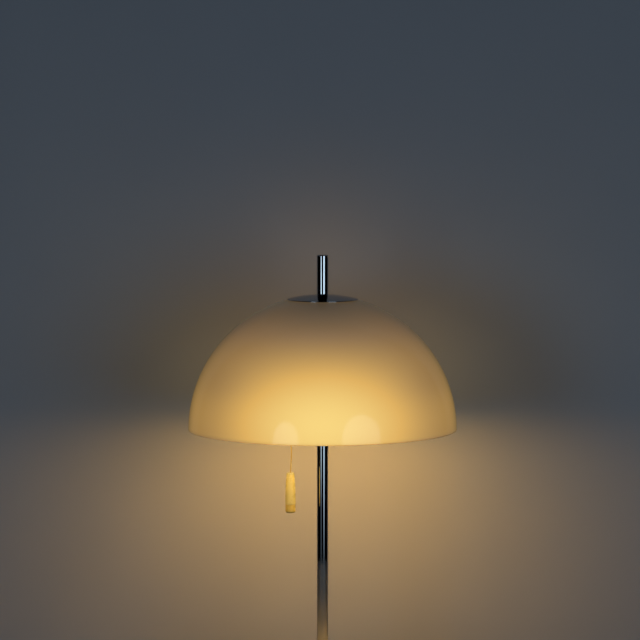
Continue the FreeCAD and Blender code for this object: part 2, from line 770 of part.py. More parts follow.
def make_switch():
    """Pull switch on the hub's side: housing, cover, nipple, neck, plunger and spring."""
    depth = dims.switch_depth
    width = dims.switch_width
    corner = dims.switch_corner
    plan = [
        (ZERO, ZERO),
        (depth - corner, ZERO),
        (depth, corner, corner, LEFT),
        (depth, width - corner),
        (depth - corner, width, corner, LEFT),
        (ZERO, width),
    ]
    cover_height = dims.switch_floor + dims.neck_flange_thickness + dims.spring_length
    cover_height += dims.plunger_head_thickness + dims.switch_head_room
    height = cover_height + dims.cover_spigot
    axis_x = pull_reach - hub_face
    axis_y = width / 2
    turn = upright(SWITCH_AZIMUTH)
    face_x, face_y = polar(hub_face, SWITCH_AZIMUTH)
    side_x, side_y = polar(width / 2, SWITCH_AZIMUTH - 90.0)
    corner_x = face_x + side_x
    corner_y = face_y + side_y

    neck_hole = dims.neck_radius + dims.fit_gap
    across = FreeCAD.Rotation(FreeCAD.Vector(0, 1, 0), 90.0)
    nipple_height = holder_rise - dims.switch_rise
    nipple_seat = dims.switch_nipple_radius + dims.fit_gap
    cavity = seat(rod("switch_cavity", dims.switch_cavity_radius, height), axis_x, axis_y, dims.switch_floor)
    neck_way = seat(rod("switch_neck_hole", neck_hole, height), axis_x, axis_y)
    nipple_way = rod("switch_nipple_hole", nipple_seat, dims.switch_nipple_outside)
    seat(nipple_way, y=axis_y, z=nipple_height, rotation=across)
    lead_way = rod("switch_lead_hole", dims.switch_lead_radius, axis_x)
    seat(lead_way, y=axis_y, z=nipple_height, rotation=across)
    moulding = padded("switch_block", plan, height)
    housing = cut("switch_housing", moulding, cavity, neck_way, nipple_way, lead_way)
    keep(seat(housing, corner_x, corner_y, switch_base, turn), "switch_housing")

    plate = seat(padded("cover_plate", plan, dims.cover_thickness), z=dims.cover_spigot)
    plug = rod("cover_plug", dims.switch_cavity_radius - dims.fit_gap, dims.cover_spigot)
    cover = fuse("switch_cover", plate, seat(plug, axis_x, axis_y))
    keep(seat(cover, corner_x, corner_y, switch_base + cover_height, turn), "switch_cover")

    nipple_length = dims.switch_nipple_inside + dims.switch_nipple_outside
    nipple = tube("switch_nipple", dims.switch_lead_radius, dims.switch_nipple_radius, nipple_length)
    keep(aim(nipple, SWITCH_AZIMUTH, hub_face - dims.switch_nipple_inside, holder_axis), "switch_nipple")
    nipple_hole = dims.switch_nipple_radius + dims.thread_gap
    nut = hex_nut("switch_lock_nut", dims.switch_nut_across, dims.switch_nut_thickness, nipple_hole)
    nut_reach = hub_face - dims.hub_wall - dims.switch_nut_thickness
    keep(aim(nut, SWITCH_AZIMUTH, nut_reach, holder_axis), "switch_lock_nut")

    neck_bore = dims.plunger_radius + dims.running_gap
    flange_base = dims.neck_drop + dims.switch_floor
    flange_top = flange_base + dims.neck_flange_thickness
    neck = turned("switch_neck", [
        (neck_bore, ZERO),
        (dims.neck_radius, ZERO),
        (dims.neck_radius, flange_base),
        (dims.neck_flange_radius, flange_base),
        (dims.neck_flange_radius, flange_top),
        (neck_bore, flange_top),
    ])
    keep(seat(neck, pull_x, pull_y, switch_base - dims.neck_drop), "switch_neck")
    neck_nut = hex_nut("switch_neck_nut", dims.neck_nut_across, dims.neck_nut_thickness, neck_hole)
    keep(seat(neck_nut, pull_x, pull_y, switch_base - dims.neck_nut_thickness), "switch_neck_nut")

    stem_low = dims.eye_radius
    head_low = eye_drop + flange_top + dims.spring_length
    head_high = head_low + dims.plunger_head_thickness
    stalk = turned("plunger_stalk", [
        (ZERO, stem_low),
        (dims.plunger_radius, stem_low),
        (dims.plunger_radius, head_low),
        (dims.plunger_head_radius, head_low),
        (dims.plunger_head_radius, head_high),
        (ZERO, head_high),
    ])
    eye = ring("plunger_eye", dims.eye_radius, dims.eye_wire_radius)
    eye.Placement = FreeCAD.Placement(FreeCAD.Vector(), FreeCAD.Rotation(FreeCAD.Vector(1, 0, 0), 90.0))
    keep(seat(fuse("pull_plunger", stalk, eye), pull_x, pull_y, eye_height), "pull_plunger")

    spring_base = switch_base - dims.neck_drop + flange_top
    keep(seat(coil("pull_spring"), pull_x, pull_y, spring_base), "pull_spring")


def ring(name, radius, wire):
    """Round ring in its own ground plane."""
    item = doc.addObject("Part::Torus", name)
    bind(item, Radius1=radius, Radius2=wire)
    return item


def coil(name):
    """Compression spring of level half turns, between the neck's flange and the plunger's head."""
    radius = dims.spring_radius.value
    wire = dims.spring_wire_radius.value
    low = wire + dims.fit_gap.value
    half_turns = 2 * round(dims.spring_turns.value)
    climb = (dims.spring_length.value - 2 * low) / half_turns
    ends = [FreeCAD.Vector(radius * (-1) ** turn, 0, low + climb * turn) for turn in range(half_turns + 1)]
    turns = []
    for number, (start, end) in enumerate(zip(ends, ends[1:])):
        middle = (start + end) * 0.5
        bulge = (end - start).Length / 2 * (-1) ** number
        turns.append(Part.Arc(start, middle + FreeCAD.Vector(0, bulge, 0), end).toShape())
    section = Part.Circle(ends[0], FreeCAD.Vector(0, 1, 0), wire)
    item = doc.addObject("Part::Feature", name)
    item.Shape = Part.Wire(turns).makePipeShell([Part.Wire(section.toShape())], True, False)
    print("gap between spring turns", round(2 * climb - 2 * wire, 2))
    return item


def rounded_route(points):
    """Straight runs joined by tangent arcs as large as the runs allow."""
    edges = []
    radii = []
    last = points[0]
    for before, corner, after in zip(points, points[1:], points[2:]):
        toward = before - corner
        away = after - corner
        turn = math.pi - toward.getAngle(away)
        reach = CORD_BEND_SHARE * min(toward.Length, away.Length)
        radii.append(reach / math.tan(turn / 2))
        toward.normalize()
        away.normalize()
        bisector = (toward + away).normalize()
        sag = reach * math.tan(turn / 4)
        first = corner + toward * reach
        final = corner + away * reach
        edges.append(Part.LineSegment(last, first).toShape())
        edges.append(Part.Arc(first, corner + bisector * sag, final).toShape())
        last = final
    edges.append(Part.LineSegment(last, points[-1]).toShape())
    print("cord radii", [round(radius, 1) for radius in radii])
    return Part.Wire(edges)


def make_pull():
    """Pull cord with its loop and knots, and the handle with its foot."""
    wire = dims.cord_radius
    link = dims.eye_wire_radius + wire + dims.hanging_gap
    loop_height = eye_height - dims.eye_radius + link - dims.loop_radius
    knot_low = loop_height - dims.loop_radius - dims.knot_length + dims.knot_overlap
    loop = ring("cord_loop", dims.loop_radius, wire)
    seat(loop, pull_x, pull_y, loop_height, FreeCAD.Rotation(FreeCAD.Vector(0, 1, 0), 90.0))
    knot = seat(turned("loop_knot", knot_corners()), pull_x, pull_y, knot_low)
    keep(fuse("pull_loop", loop, knot), "pull_loop")

    handle_top = dims.rim_height - dims.handle_drop
    cord_end = handle_top - dims.handle_web
    way = knot_low.value - cord_end.value
    points = [FreeCAD.Vector(pull_x.value + side, pull_y.value, knot_low.value - way * share)
              for side, share in CORD_ROUTE]
    path = rounded_route(points)
    circle = Part.Circle(points[0], points[1] - points[0], wire.value)
    strand = path.makePipeShell([Part.Wire(circle.toShape())], True, False)
    fill = strand.Volume / (math.pi * wire.value ** 2 * path.Length)
    print("cord length", round(path.Length, 2), "volume over section times length", round(fill, 4))
    cord = doc.addObject("Part::Feature", "pull_cord")
    cord.Shape = strand
    keep(cord, "pull_cord")

    body_base = handle_top - dims.handle_body_length
    knot_base = cord_end - dims.knot_length
    keep(seat(turned("handle_knot", knot_corners()), pull_x, pull_y, knot_base), "handle_knot")
    keep(seat(handle_body(), pull_x, pull_y, body_base), "pull_handle")

    spigot = dims.handle_cavity_radius - dims.fit_gap
    foot_top = dims.foot_length
    foot = turned("handle_foot", [
        (ZERO, ZERO),
        (dims.foot_radius - dims.foot_round, ZERO),
        (dims.foot_radius, dims.foot_round, dims.foot_round, LEFT),
        (dims.foot_radius, foot_top - dims.handle_edge),
        (dims.foot_radius - dims.handle_edge, foot_top),
        (spigot, foot_top),
        (spigot, foot_top + dims.foot_spigot_length),
        (ZERO, foot_top + dims.foot_spigot_length),
    ])
    keep(seat(foot, pull_x, pull_y, body_base - foot_top), "handle_foot")


def knot_corners():
    """Outline of a knot in the cord: a short barrel with flat ends."""
    half = dims.knot_length / 2
    swell = dims.knot_radius - dims.knot_end_radius
    side = (half * half + swell * swell) / (swell * 2)
    return [
        (ZERO, ZERO),
        (dims.knot_end_radius, ZERO),
        (dims.knot_end_radius, dims.knot_length, side, LEFT),
        (ZERO, dims.knot_length),
    ]


def handle_body():
    """Slim handle with swelling sides, fine rings near its top and a cavity for the knot."""
    length = dims.handle_body_length
    edge = dims.handle_edge
    swell = dims.handle_side_radius
    shoulder = length - dims.handle_top_round
    top_radius = dims.handle_low_radius - swell + leg(swell, shoulder - edge)
    corners = [
        (dims.handle_cavity_radius, ZERO),
        (dims.handle_low_radius - edge, ZERO),
        (dims.handle_low_radius, edge),
    ]
    for number in reversed(range(RING_COUNT)):
        ring_height = length - dims.ring_drop - dims.ring_pitch * number
        middle = dims.handle_low_radius - swell + leg(swell, ring_height - edge)
        low, high = ring_height - dims.ring_depth, ring_height + dims.ring_depth
        corners += [
            (dims.handle_low_radius - swell + leg(swell, low - edge), low, swell, LEFT),
            (middle - dims.ring_depth, ring_height),
            (dims.handle_low_radius - swell + leg(swell, high - edge), high),
        ]
    corners += [
        (top_radius, shoulder, swell, LEFT),
        (top_radius - dims.handle_top_round, length, dims.handle_top_round, LEFT),
        (dims.handle_mouth_radius, length),
        (dims.handle_hole_radius, length - dims.handle_mouth_depth),
        (dims.handle_hole_radius, length - dims.handle_web),
        (dims.handle_cavity_radius, length - dims.handle_web),
    ]
    return turned("pull_handle", corners)


def write_parts():
    """Check every object and every piece, then write the pieces."""
    doc.recompute()
    for item in doc.Objects:
        if "Invalid" in item.State or "Error" in item.State:
            raise RuntimeError(f"{item.Label}: {item.State}")
    for item in parts:
        if item.Shape.isNull() or not item.Shape.isValid():
            raise RuntimeError(f"{item.Label}: no valid solid")
    os.makedirs("parts", exist_ok=True)
    for item in parts:
        item.Shape.exportStep(f"parts/{item.Label}.step")
    print(len(parts), "pieces written")


make_base()
make_stem()
make_head()
make_hub()
make_lampholders()
make_switch()
make_pull()
write_parts()
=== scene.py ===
"""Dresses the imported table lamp: finishes, pull cord, spring, felt pad, threads, light and camera.

Metres, +Z up, in the frame of the solids. The front of the lamp faces -Y.
"""
import enum
import logging
import math
import random
from dataclasses import dataclass, field

import bmesh
import bpy
from mathutils import Matrix, Vector


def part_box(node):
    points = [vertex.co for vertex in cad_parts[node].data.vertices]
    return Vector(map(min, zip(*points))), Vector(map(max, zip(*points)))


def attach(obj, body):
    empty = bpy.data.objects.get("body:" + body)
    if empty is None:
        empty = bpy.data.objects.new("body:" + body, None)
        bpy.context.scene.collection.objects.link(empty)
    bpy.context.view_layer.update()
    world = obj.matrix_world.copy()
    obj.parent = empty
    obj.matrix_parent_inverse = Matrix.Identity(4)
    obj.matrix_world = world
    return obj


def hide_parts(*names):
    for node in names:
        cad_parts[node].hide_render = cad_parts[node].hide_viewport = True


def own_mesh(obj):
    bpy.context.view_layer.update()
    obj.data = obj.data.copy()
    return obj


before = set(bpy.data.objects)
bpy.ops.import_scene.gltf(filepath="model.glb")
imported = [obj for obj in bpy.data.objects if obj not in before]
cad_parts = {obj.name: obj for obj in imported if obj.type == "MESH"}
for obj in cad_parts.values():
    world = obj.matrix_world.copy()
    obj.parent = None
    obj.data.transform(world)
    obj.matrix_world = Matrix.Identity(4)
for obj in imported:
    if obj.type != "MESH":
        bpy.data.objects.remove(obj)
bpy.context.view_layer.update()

Colour = tuple[float, float, float]
Point = tuple[float, float, float]
Span = tuple[float, float]
Stops = tuple[tuple[float, Colour], ...]
Outfit = tuple[tuple, ...]
Item = bpy.types.Object
Material = bpy.types.Material
Mesh = bpy.types.Mesh
Socket = bpy.types.NodeSocket

FRAY_SEED = 7
DOWN: Point = (0.0, 0.0, -1.0)
WHOLE: Span = (0.0, 1.0)

# Noise values between which colour and gloss go from one end to the other
PATCH_SPAN: Span = (0.3, 0.7)
GLOSS_SPAN: Span = (0.25, 0.75)

# Fine relief of a plain finish
GRAIN_DETAIL = 2.0
GRAIN_STRENGTH = 0.4

log = logging.getLogger("table_lamp")


class Body(enum.Enum):
    """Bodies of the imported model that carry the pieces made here."""

    LAMP = "lamp"
    PULL = "pull"


class Side(enum.Enum):
    """Sides that the lampholders point to, by their azimuths in degrees."""

    FRONT = -90.0
    RIGHT = 30.0
    LEFT = 150.0

    def piece(self, kind: str) -> str:
        """Name of this side's piece of a kind."""
        return f"{kind}_{self.name.lower()}"

    @classmethod
    def pieces(cls, *kinds: str) -> tuple[str, ...]:
        """Names of all sides' pieces of some kinds."""
        return tuple(side.piece(kind) for side in cls for kind in kinds)


class Role(enum.Enum):
    """What a studio light does."""

    FILL = "lights the surfaces"
    SHINE = "shows in gloss and chrome"


def scaled(colour: Colour, share: float) -> Colour:
    """Brighten or dim a colour."""
    return tuple(part * share for part in colour)


def linked(name: str, data: bpy.types.ID) -> Item:
    """Make an object and link it into the scene.

    Args:
        name: name of the object.
        data: its mesh, curve, light or camera.

    Returns:
        The object.
    """
    item = bpy.data.objects.new(name, data)
    bpy.context.scene.collection.objects.link(item)
    return item


def aimed(name: str, data: bpy.types.ID, place: Vector, towards: Vector) -> Item:
    """Set up a light or a camera.

    Args:
        name: name of the object.
        data: its light or camera.
        place: where it stands.
        towards: the way that it faces.

    Returns:
        The object.
    """
    item = linked(name, data)
    item.location = place
    item.rotation_mode = "QUATERNION"
    item.rotation_quaternion = towards.to_track_quat("-Z", "Y")
    return item


class Nodes:
    """Short hand for making and joining the nodes of one tree."""

    def __init__(self, tree: bpy.types.NodeTree) -> None:
        """Keep the tree of a material, a light or a geometry modifier."""
        self.tree = tree

    def fill(self, socket: Socket, value: object) -> None:
        """Join an input to an output, or set its plain value.

        Args:
            socket: the input.
            value: an output of another node, or a plain value.
        """
        if isinstance(value, Socket):
            self.tree.links.new(value, socket)
        else:
            socket.default_value = value

    def add(self, kind: str, given: dict | None = None, **settings: object) -> bpy.types.Node:
        """Make a node, set its properties and fill its inputs.

        Args:
            kind: Blender's name of the node type.
            given: outputs of other nodes or plain values, by the names of the inputs.
            settings: properties of the node.

        Returns:
            The new node.
        """
        node = self.tree.nodes.new(kind)
        for name, value in settings.items():
            setattr(node, name, value)
        for name, value in (given or {}).items():
            self.fill(node.inputs[name], value)
        return node

    def split(self, vector: Socket) -> bpy.types.NodeOutputs:
        """Part a vector into X, Y and Z."""
        return self.add("ShaderNodeSeparateXYZ", {"Vector": vector}).outputs

    def noise(self, vector: Socket, scale: float, detail: float = 4.0) -> Socket:
        """Noise over a vector, by its patches per metre and its levels of finer noise."""
        given = {"Vector": vector, "Scale": scale, "Detail": detail}
        return self.add("ShaderNodeTexNoise", given).outputs["Fac"]

    def ramp(self, value: Socket, stops: Stops) -> Socket:
        """Colour ramp over a value.

        Args:
            value: the value that it reads, 0 to 1.
            stops: place and colour of each stop, in order.

        Returns:
            The colour.
        """
        node = self.add("ShaderNodeValToRGB", {"Fac": value})
        elements = node.color_ramp.elements
        while len(elements) < len(stops):
            elements.new(1.0)
        for element, (place, colour) in zip(elements, stops):
            element.position = place
            element.color = (*colour, 1.0)
        return node.outputs["Color"]

    def sum(self, operation: str, *values: Socket | float) -> Socket:
        """One step of arithmetic.

        Args:
            operation: Blender's name of the operation.
            values: what goes in, as sockets or plain numbers.

        Returns:
            The result.
        """
        node = self.add("ShaderNodeMath", operation=operation)
        for socket, value in zip(node.inputs, values):
            self.fill(socket, value)
        return node.outputs["Value"]

    def spread(self, value: Socket, start: Span, end: Span, easing: str = "LINEAR") -> Socket:
        """Map a value from one range to another, clamped, with Blender's name of the way between."""
        given = {"Value": value, "From Min": start[0], "From Max": start[1],
                 "To Min": end[0], "To Max": end[1]}
        return self.add("ShaderNodeMapRange", given, interpolation_type=easing).outputs["Result"]

    def bump(self, height: Socket, strength: float, distance: float) -> Socket:
        """Bumped normal from a height, by its strength, 0 to 1, and its depth in metres."""
        given = {"Height": height, "Strength": strength, "Distance": distance}
        return self.add("ShaderNodeBump", given).outputs["Normal"]


class Shading(Nodes):
    """A material with one Principled shader, and the coordinates of the piece that wears it."""

    def __init__(self, name: str) -> None:
        """Make the material.

        Args:
            name: name of the material.
        """
        self.material = bpy.data.materials.new(name)
        self.material.use_nodes = True
        super().__init__(self.material.node_tree)
        self.tree.nodes.clear()
        self.shader = self.add("ShaderNodeBsdfPrincipled")
        self.surface = self.add("ShaderNodeOutputMaterial").inputs["Surface"]
        self.fill(self.surface, self.shader.outputs["BSDF"])
        self.place = self.add("ShaderNodeTexCoord").outputs["Object"]

    def set(self, **values: object) -> None:
        """Fill the shader's inputs, with _ for each space in an input's name."""
        for name, value in values.items():
            self.fill(self.shader.inputs[name.replace("_", " ")], value)

    def patches(self, cloud: Socket, dark: Colour, light: Colour) -> Socket:
        """Colour that goes from dark to light patches."""
        return self.ramp(cloud, tuple(zip(PATCH_SPAN, (dark, light))))

    def mixed(self, share: Socket, first: Socket, second: Colour) -> Socket:
        """Mix a colour with a plain one.

        Args:
            share: share of the plain colour.
            first: the colour that it reads.
            second: the plain colour.

        Returns:
            The mixed colour.
        """
        node = self.add("ShaderNodeMix", data_type="RGBA")
        sockets = {socket.identifier: socket for socket in (*node.inputs, *node.outputs)}
        self.fill(sockets["Factor_Float"], share)
        self.fill(sockets["A_Color"], first)
        self.fill(sockets["B_Color"], (*second, 1.0))
        return sockets["Result_Color"]


@dataclass(frozen=True)
class Finish:
    """A finish whose colour, gloss and relief vary a little over the surface.

    Attributes:
        name: name of the material.
        dark: colour of the darker patches.
        light: colour of the lighter patches.
        patch: patches per metre.
        roughness: least and most roughness.
        metallic: 1 for bare metal.
        grain: grains of relief per metre.
        relief: depth of the relief in metres.
        coat: weight of a clear gloss layer.
        sheen: weight of a fibrous sheen.
        edge: tint of the mirror image where the surface turns away.
    """

    name: str
    dark: Colour
    light: Colour
    patch: float
    roughness: Span
    metallic: float = 0.0
    grain: float = 900.0
    relief: float = 0.00005
    coat: float = 0.0
    sheen: float = 0.0
    edge: Colour = (1.0, 1.0, 1.0)

    def material(self) -> Material:
        """Build the material.

        Returns:
            The material, ready to be worn.
        """
        shading = Shading(self.name)
        cloud = shading.noise(shading.place, self.patch)
        grain = shading.noise(shading.place, self.grain, GRAIN_DETAIL)
        shading.set(Base_Color=self.colour(shading, cloud), Metallic=self.metallic,
                    Roughness=shading.spread(cloud, GLOSS_SPAN, self.roughness),
                    Normal=shading.bump(grain, GRAIN_STRENGTH, self.relief),
                    Coat_Weight=self.coat, Sheen_Weight=self.sheen, Specular_Tint=(*self.edge, 1.0))
        return shading.material

    def colour(self, shading: Shading, cloud: Socket) -> Socket:
        """Colour over the surface, by its patches."""
        return shading.patches(cloud, self.dark, self.light)


@dataclass(frozen=True)
class ShadedTopFinish(Finish):
    """A finish with painted shade that darkens the upper end of its piece.

    Attributes:
        top_shade: colour of the painted shade at the upper end.
        heights: heights where the painted shade starts and where it is darkest.
    """

    # Painted shade: a darker colour mixed over the upper end of the piece.
    top_shade: Colour = (0.30, 0.34, 0.27)
    heights: Span = (0.2659, 0.2672)

    def colour(self, shading: Shading, cloud: Socket) -> Socket:
        """Colour over the surface, with painted shade at the upper end.

        Args:
            shading: the material that it is for.
            cloud: the patches.

        Returns:
            The colour.
        """
        height = shading.split(shading.place)["Z"]
        share = shading.spread(height, self.heights, WHOLE)
        return shading.mixed(share, super().colour(shading, cloud), self.top_shade)


@dataclass(frozen=True)
class OpalFinish:
    """Opal acrylic, lit from inside by three bulbs: brightest low down beside a bulb, dim in the crown.

    Attributes:
        name: name of the material.
        rim: height of the shade's rim.
        crown: height of the shade's top.
        body: colour of the acrylic.
        patch: patches of colour per metre.
        lighter: brightness of the lighter patches.
        roughness: least and most roughness under the gloss.
        ripple: waves of the glossy surface per metre.
        ripple_strength: how much they show, 0 to 1.
        ripple_depth: their depth in metres.
        peak: share of the way up where the glow is brightest.
        fade: share of the height over which it fades.
        dip: share of the light that is lost between two bulbs, low down and high up: a gain if negative.
        dip_heights: shares of the way up where that loss starts and ends to shrink.
        lip: share of the light that is left at the rim's edge.
        lip_height: height over which that loss ends.
        tones: colour of the glow by brightness.
    """

    name: str = "opal_acrylic"
    rim: float = 0.320
    crown: float = 0.4894
    body: Colour = (0.74, 0.66, 0.52)
    patch: float = 25.0
    lighter: float = 1.04
    roughness: Span = (0.55, 0.65)
    ripple: float = 14.0
    ripple_strength: float = 0.15
    ripple_depth: float = 0.0008
    peak: float = 0.148
    fade: float = 0.478
    dip: Span = (0.634, -0.60)
    dip_heights: Span = (0.332, 1.195)
    lip: float = 0.70
    lip_height: float = 0.0038
    tones: Stops = (
        (0.0, (0.0, 0.0, 0.0)), (0.2, (0.203, 0.105, 0.031)), (0.6, (0.658, 0.358, 0.054)),
        (1.0, (0.828, 0.564, 0.136)),
    )

    def material(self) -> Material:
        """Build the material.

        Returns:
            The material, ready to be worn.
        """
        shading = Shading(self.name)
        cloud = shading.noise(shading.place, self.patch)
        ripple = shading.noise(shading.place, self.ripple, detail=1.0)
        shading.set(Base_Color=shading.patches(cloud, self.body, scaled(self.body, self.lighter)),
                    Roughness=shading.spread(cloud, PATCH_SPAN, self.roughness), Specular_IOR_Level=0.2,
                    Coat_Normal=shading.bump(ripple, self.ripple_strength, self.ripple_depth),
                    Coat_Weight=1.0, Coat_Roughness=0.10, Coat_IOR=1.5,
                    Sheen_Weight=1.0, Sheen_Roughness=0.35, Sheen_Tint=(1.0, 0.8, 0.5, 1.0),
                    Emission_Color=shading.ramp(self.brightness(shading), self.tones),
                    Emission_Strength=1.1)
        return shading.material

    def brightness(self, shading: Shading) -> Socket:
        """Brightness of the glow: by height, with three bright sides next to the bulbs.

        Args:
            shading: the material that it is for.

        Returns:
            The brightness, 0 to 1.
        """
        place = shading.split(shading.place)
        share = shading.spread(place["Z"], (self.rim, self.crown), WHOLE)
        azimuth = shading.sum("ARCTAN2", place["X"], place["Y"])
        wave = shading.sum("COSINE", shading.sum("MULTIPLY", azimuth, float(len(Side))))
        between = shading.spread(wave, (-1.0, 1.0), WHOLE)
        offset = shading.sum("DIVIDE", shading.sum("SUBTRACT", share, self.peak), self.fade)
        square = shading.sum("MULTIPLY", offset, offset)
        climb = shading.sum("EXPONENT", shading.sum("MULTIPLY", square, -1.0))
        dip = shading.spread(share, self.dip_heights, self.dip, "SMOOTHSTEP")
        kept = shading.sum("SUBTRACT", 1.0, shading.sum("MULTIPLY", dip, between))
        lip = shading.spread(place["Z"], (self.rim, self.rim + self.lip_height), (self.lip, 1.0))
        return shading.sum("MULTIPLY", shading.sum("MULTIPLY", climb, kept), lip)


@dataclass(frozen=True)
class GlowFinish:
    """Frosted bulb glass that shines.

    Attributes:
        name: name of the material.
        glow: colour of the light.
        dimmer: brightness of its dimmer patches.
        strength: brightness of the light.
        glass: colour of the glass, dark and light.
        patch: patches per metre.
    """

    name: str = "frosted_bulb"
    glow: Colour = (1.0, 0.72, 0.36)
    dimmer: float = 0.9
    strength: float = 9.0
    glass: tuple[Colour, Colour] = ((0.85, 0.82, 0.76), (0.92, 0.89, 0.83))
    patch: float = 40.0

    def material(self) -> Material:
        """Build the material.

        Returns:
            The material, ready to be worn.
        """
        shading = Shading(self.name)
        cloud = shading.noise(shading.place, self.patch)
        shading.set(Base_Color=shading.patches(cloud, *self.glass), Roughness=0.55,
                    Emission_Color=shading.patches(cloud, scaled(self.glow, self.dimmer), self.glow),
                    Emission_Strength=self.strength)
        return shading.material


@dataclass(frozen=True)
class BraidFinish:
    """Braided cord: two sets of fine strands that cross.

    Attributes:
        name: name of the material.
        dark: colour between the strands.
        light: colour of the strands.
        stops: shares of a strand's height where the two colours start.
        strands: strands of all sets per metre of length.
        leans: lean of each set in degrees.
        relief: depth between the strands in metres.
        relief_strength: how much it shows, 0 to 1.
    """

    name: str = "braided_cord"
    dark: Colour = (0.12, 0.105, 0.034)
    light: Colour = (0.36, 0.315, 0.105)
    stops: Span = (0.2, 0.8)
    strands: float = 900.0
    leans: Span = (35.0, -35.0)
    relief: float = 0.0001
    relief_strength: float = 0.6

    def material(self) -> Material:
        """Build the material.

        Returns:
            The material, ready to be worn.
        """
        shading = Shading(self.name)
        waves = []
        for lean in self.leans:
            slant = {"Vector": shading.place, "Rotation": (0.0, math.radians(lean), 0.0)}
            turned = shading.add("ShaderNodeMapping", slant).outputs["Vector"]
            strands = {"Vector": turned, "Scale": self.strands / len(self.leans)}
            waves.append(shading.add("ShaderNodeTexWave", strands, bands_direction="Z").outputs["Fac"])
        weave = shading.sum("MAXIMUM", *waves)
        shading.set(Base_Color=shading.ramp(weave, tuple(zip(self.stops, (self.dark, self.light)))),
                    Normal=shading.bump(weave, self.relief_strength, self.relief),
                    Roughness=0.85, Sheen_Weight=0.3)
        return shading.material


@dataclass(frozen=True)
class PaperFinish:
    """Matt paper of the stage, which shows on its front only.

    Attributes:
        name: name of the material.
        tone: colour of the paper.
        lighter: brightness of its lighter patches.
        patch: patches per metre.
    """

    name: str
    tone: Colour
    lighter: float = 1.03
    patch: float = 6.0

    def material(self) -> Material:
        """Build the material.

        Returns:
            The material, ready to be worn.
        """
        shading = Shading(self.name)
        cloud = shading.noise(shading.place, self.patch)
        shading.set(Base_Color=shading.patches(cloud, self.tone, scaled(self.tone, self.lighter)),
                    Roughness=0.9)
        mix = shading.add("ShaderNodeMixShader")
        share, front, back = mix.inputs
        shading.fill(share, shading.add("ShaderNodeNewGeometry").outputs["Backfacing"])
        shading.fill(front, shading.shader.outputs["BSDF"])
        shading.fill(back, shading.add("ShaderNodeBsdfTransparent").outputs["BSDF"])
        shading.fill(shading.surface, mix.outputs["Shader"])
        return shading.material


class Finishes(enum.Enum):
    """The lamp's finishes."""

    CHROME = Finish("chrome", (0.66, 0.68, 0.70), (0.74, 0.76, 0.78), patch=35.0, roughness=(0.03, 0.07),
                    metallic=1.0, grain=700.0, relief=0.000002, edge=(0.06, 0.07, 0.08))
    SPUN_CHROME = Finish("spun_chrome", (0.64, 0.66, 0.68), (0.72, 0.74, 0.76), patch=45.0,
                         roughness=(0.04, 0.08), metallic=1.0, relief=0.000003, edge=(0.66, 0.67, 0.69))
    STEEL = Finish("zinc_plate", (0.42, 0.42, 0.40), (0.60, 0.60, 0.57), patch=150.0,
                   roughness=(0.28, 0.45), metallic=1.0, grain=2500.0, relief=0.00001)
    BRASS = Finish("brass", (0.62, 0.42, 0.17), (0.80, 0.60, 0.28), patch=120.0, roughness=(0.22, 0.38),
                   metallic=1.0, grain=2500.0, relief=0.00001)
    IRON = Finish("cast_iron", (0.02, 0.02, 0.02), (0.07, 0.065, 0.06), patch=300.0, roughness=(0.7, 0.9),
                  metallic=0.3, relief=0.0003)
    BAKELITE = Finish("black_bakelite", (0.012, 0.010, 0.009), (0.030, 0.026, 0.022), patch=90.0,
                      roughness=(0.22, 0.36), grain=1500.0, relief=0.00001, coat=0.3)
    RUBBER = Finish("pale_rubber", (0.55, 0.54, 0.50), (0.68, 0.67, 0.62), patch=200.0,
                    roughness=(0.7, 0.85))
    ENAMEL = Finish("white_enamel", (0.78, 0.77, 0.73), (0.86, 0.85, 0.81), patch=80.0,
                    roughness=(0.28, 0.4), grain=500.0, relief=0.00003, coat=0.4)
    CREAM = Finish("cream_plastic", (0.74, 0.72, 0.66), (0.82, 0.80, 0.74), patch=120.0,
                   roughness=(0.4, 0.55))
    CERAMIC = Finish("ceramic", (0.78, 0.76, 0.71), (0.88, 0.86, 0.81), patch=160.0, roughness=(0.5, 0.7),
                     grain=1800.0, relief=0.00004)
    FELT = Finish("black_felt", (0.010, 0.010, 0.011), (0.035, 0.034, 0.036), patch=900.0,
                  roughness=(0.9, 1.0), grain=3500.0, relief=0.0006, sheen=0.5)
    # Ivory handle, with painted shade on its upper end.
    IVORY = ShadedTopFinish("ivory_plastic", (0.60, 0.60, 0.28), (0.65, 0.65, 0.32), patch=90.0,
                        roughness=(0.22, 0.34), grain=600.0, relief=0.00001, coat=0.2)
    # Painted shade: the ivory, darker and more orange, for the handle's downward-facing foot.
    SHADED_IVORY = Finish("shaded_ivory_plastic", (0.58, 0.50, 0.15), (0.63, 0.55, 0.18), patch=90.0,
                   roughness=(0.22, 0.34), grain=600.0, relief=0.00001, coat=0.2)
    OPAL = OpalFinish()
    BULB = GlowFinish()
    BRAID = BraidFinish()


class Wardrobe:
    """The materials made so far, one for each finish."""

    def __init__(self) -> None:
        """Start with none."""
        self.made: dict[Finishes, Material] = {}

    def material(self, finish: Finishes) -> Material:
        """Make a finish's material once.

        Args:
            finish: the finish that is wanted.

        Returns:
            Its material.
        """
        if finish not in self.made:
            self.made[finish] = finish.value.material()
        return self.made[finish]

    def dress(self, finish: Finishes, *nodes: str) -> None:
        """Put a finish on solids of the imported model.

        Args:
            finish: the finish.
            nodes: names of the solids.
        """
        for name in nodes:
            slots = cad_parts[name].data.materials
            slots.clear()
            slots.append(self.material(finish))
            log.info("%s wears %s", name, finish.value.name)

    def piece(self, name: str, mesh: Mesh, finish: Finishes, body: Body, slot: str) -> Item:
        """Make a finished piece from a mesh and let it ride on a body.

        Args:
            name: name of the piece.
            mesh: its mesh, in place.
            finish: its finish.
            body: the body that carries it.
            slot: not used.

        Returns:
            The piece.
        """
        mesh.materials.clear()
        mesh.materials.append(self.material(finish))
        item = linked(name, mesh)
        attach(item, body.value)
        log.info("%s made, %d faces, on %s", name, len(mesh.polygons), body.value)
        return item


